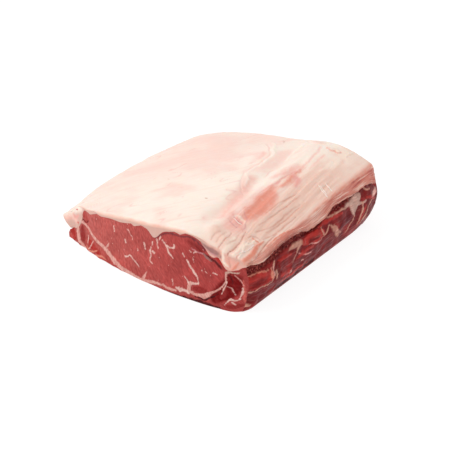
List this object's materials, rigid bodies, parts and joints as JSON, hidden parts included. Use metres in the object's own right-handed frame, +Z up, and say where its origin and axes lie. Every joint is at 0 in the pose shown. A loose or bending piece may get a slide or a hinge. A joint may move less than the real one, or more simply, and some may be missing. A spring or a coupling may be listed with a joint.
{
  "type": "raw beef sirloin joint",
  "caption": "Boned raw beef sirloin roasting joint: marbled red lean under a pale fat cap, flank end tapering, chine side thick, lying fat side up.",
  "frame": {"origin": "centre of the bounding box at its foot, on the flat underside that the joint lies on", "axes": "+Z up through the fat cap; +X from the thin flank end to the thick chine side; +Y from the near cut face, which shows the marbled eye, to the far cut face"},
  "size_m": [0.222, 0.223, 0.0685],
  "materials": {
    "lean": "moist satin",
    "fat_cap": "soft, slightly moist"
  },
  "bodies": {
    "root": {"lean": "lean", "fat_cap": "fat_cap"}
  },
  "joints": []
}
